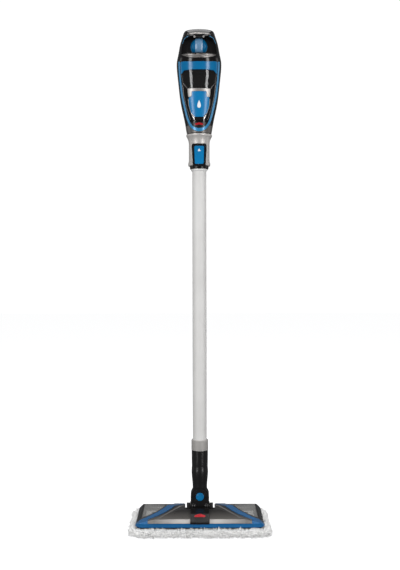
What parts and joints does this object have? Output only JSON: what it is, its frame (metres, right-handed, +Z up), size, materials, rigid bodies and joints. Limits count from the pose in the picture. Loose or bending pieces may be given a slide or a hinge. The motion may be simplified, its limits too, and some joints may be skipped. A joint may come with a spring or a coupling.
{
  "type": "steam mop",
  "caption": "Upright steam mop: handset with loop grip and pull-out tank, slim wand with collar, two-axis knuckle and a flat floor head with microfibre pad.",
  "frame": {"origin": "centre of the pad's underside, on the floor", "axes": "+Z up along the upright wand, front (tank side) towards -Y, +X to the viewer's right when facing the front"},
  "size_m": [0.338, 0.186, 1.18],
  "materials": {
    "shell_black": "high gloss moulded",
    "rear_black": "satin moulded",
    "graphite": "metallic graphite paint",
    "silver": "metallic silver paint",
    "blue_line": "metallic light blue",
    "blue_gloss": "gloss blue, pearl",
    "smoke_clear": "smoke clear polycarbonate",
    "window_clear": "clear polycarbonate",
    "black_matte": "fine texture",
    "black_gloss": "gloss moulded",
    "tube_silver": "satin anodised",
    "light_plastic": "satin",
    "ferrule_grey": "satin",
    "soft_black": "soft touch",
    "button_blue": "gloss",
    "button_grey": "gloss",
    "steel": "ground",
    "cast": "as cast",
    "inner_white": "moulded",
    "board_green": "solder mask",
    "hook_fabric": "hook tape",
    "microfibre": "looped microfibre pile"
  },
  "bodies": {
    "head": {"foot_base": "black_matte", "foot_cover": "graphite", "foot_trim": "blue_gloss", "front_strips": "silver", "end_cap_left": "black_matte", "end_cap_right": "black_matte", "window_left": "window_clear", "window_right": "window_clear", "badge_block": "black_matte", "steam_manifold": "cast", "hook_strips": "hook_fabric", "foot_screws": "steel", "mop_pad": "microfibre"},
    "swivel": {"swivel_fork": "black_gloss", "tilt_pin": "steel", "pin_cap": "blue_gloss", "pitch_pin": "steel"},
    "wand": {"neck": "black_gloss", "ferrule": "ferrule_grey", "wand_tube": "tube_silver", "wand_hose": "soft_black", "ring_light": "light_plastic", "ring_dark": "black_matte", "collar_shell": "silver", "release_bezel": "black_matte", "release_spring": "steel", "cord_hook_lower": "black_matte"},
    "release_button": {"release_button": "blue_gloss"},
    "handset": {"front_housing": "shell_black", "rear_housing": "rear_black", "lower_fairing": "graphite", "bay_trim": "blue_line", "bay_apron": "graphite", "recess_liner": "black_matte", "recess_lip": "silver", "top_trim": "silver", "grip_inlay": "soft_black", "spigot": "black_matte", "cord_gland": "soft_black", "housing_screws": "steel", "boiler": "cast", "pump": "inner_white", "water_hose": "soft_black", "control_board": "board_green", "trigger_pin": "steel", "trigger_spring": "steel", "microswitch": "inner_white", "latch_spring": "steel"},
    "trigger": {"trigger": "button_grey"},
    "power_button": {"power_button": "button_blue"},
    "mode_button": {"mode_button": "button_grey"},
    "tank_latch": {"tank_latch": "blue_gloss"},
    "cord_hook_upper": {"cord_hook_upper": "black_matte"},
    "tank": {"tank_shell": "smoke_clear", "tank_collar": "blue_gloss", "tank_panel": "blue_gloss", "tank_ledge": "silver", "fill_cap": "soft_black", "outlet_valve": "inner_white"}
  },
  "joints": [
    {"name": "lean", "type": "hinge", "parent": "head", "child": "swivel", "pos_m": [0, 0, 0.05], "axis": [-1, 0, 0], "range_deg": [0, 78]},
    {"name": "side_tilt", "type": "hinge", "parent": "swivel", "child": "wand", "pos_m": [0, 0, 0.076], "axis": [0, 1, 0], "range_deg": [-38, 38]},
    {"name": "handset_lift", "type": "slide", "parent": "wand", "child": "handset", "axis": [0, 0, 1], "range_m": [0, 0.07]},
    {"name": "tank_pull", "type": "slide", "parent": "handset", "child": "tank", "axis": [0, -1, 0], "range_m": [0, 0.06]},
    {"name": "release_press", "type": "slide", "parent": "wand", "child": "release_button", "axis": [0, 1, 0], "range_m": [0, 0.003], "stiffness_N_per_m": 400, "springref_m": -0.001, "deforming": ["release_spring"]},
    {"name": "latch_press", "type": "slide", "parent": "handset", "child": "tank_latch", "axis": [0, 1, 0], "range_m": [0, 0.003], "stiffness_N_per_m": 400, "springref_m": -0.001, "deforming": ["latch_spring"]},
    {"name": "trigger_pull", "type": "hinge", "parent": "handset", "child": "trigger", "pos_m": [0, 0.074, 1.127], "axis": [1, 0, 0], "range_deg": [0, 8], "stiffness_Nm_per_rad": 0.6, "springref_deg": -2.86, "deforming": ["trigger_spring"]},
    {"name": "power_press", "type": "slide", "parent": "handset", "child": "power_button", "axis": [0, 0, -1], "range_m": [0, 0.0015], "stiffness_N_per_m": 300, "springref_m": -0.001},
    {"name": "mode_press", "type": "slide", "parent": "handset", "child": "mode_button", "axis": [0, 0, -1], "range_m": [0, 0.0015], "stiffness_N_per_m": 300, "springref_m": -0.001},
    {"name": "hook_turn", "type": "hinge", "parent": "handset", "child": "cord_hook_upper", "pos_m": [0, 0.041, 0.971], "axis": [0, 1, 0], "range_deg": [-180, 0]}
  ]
}
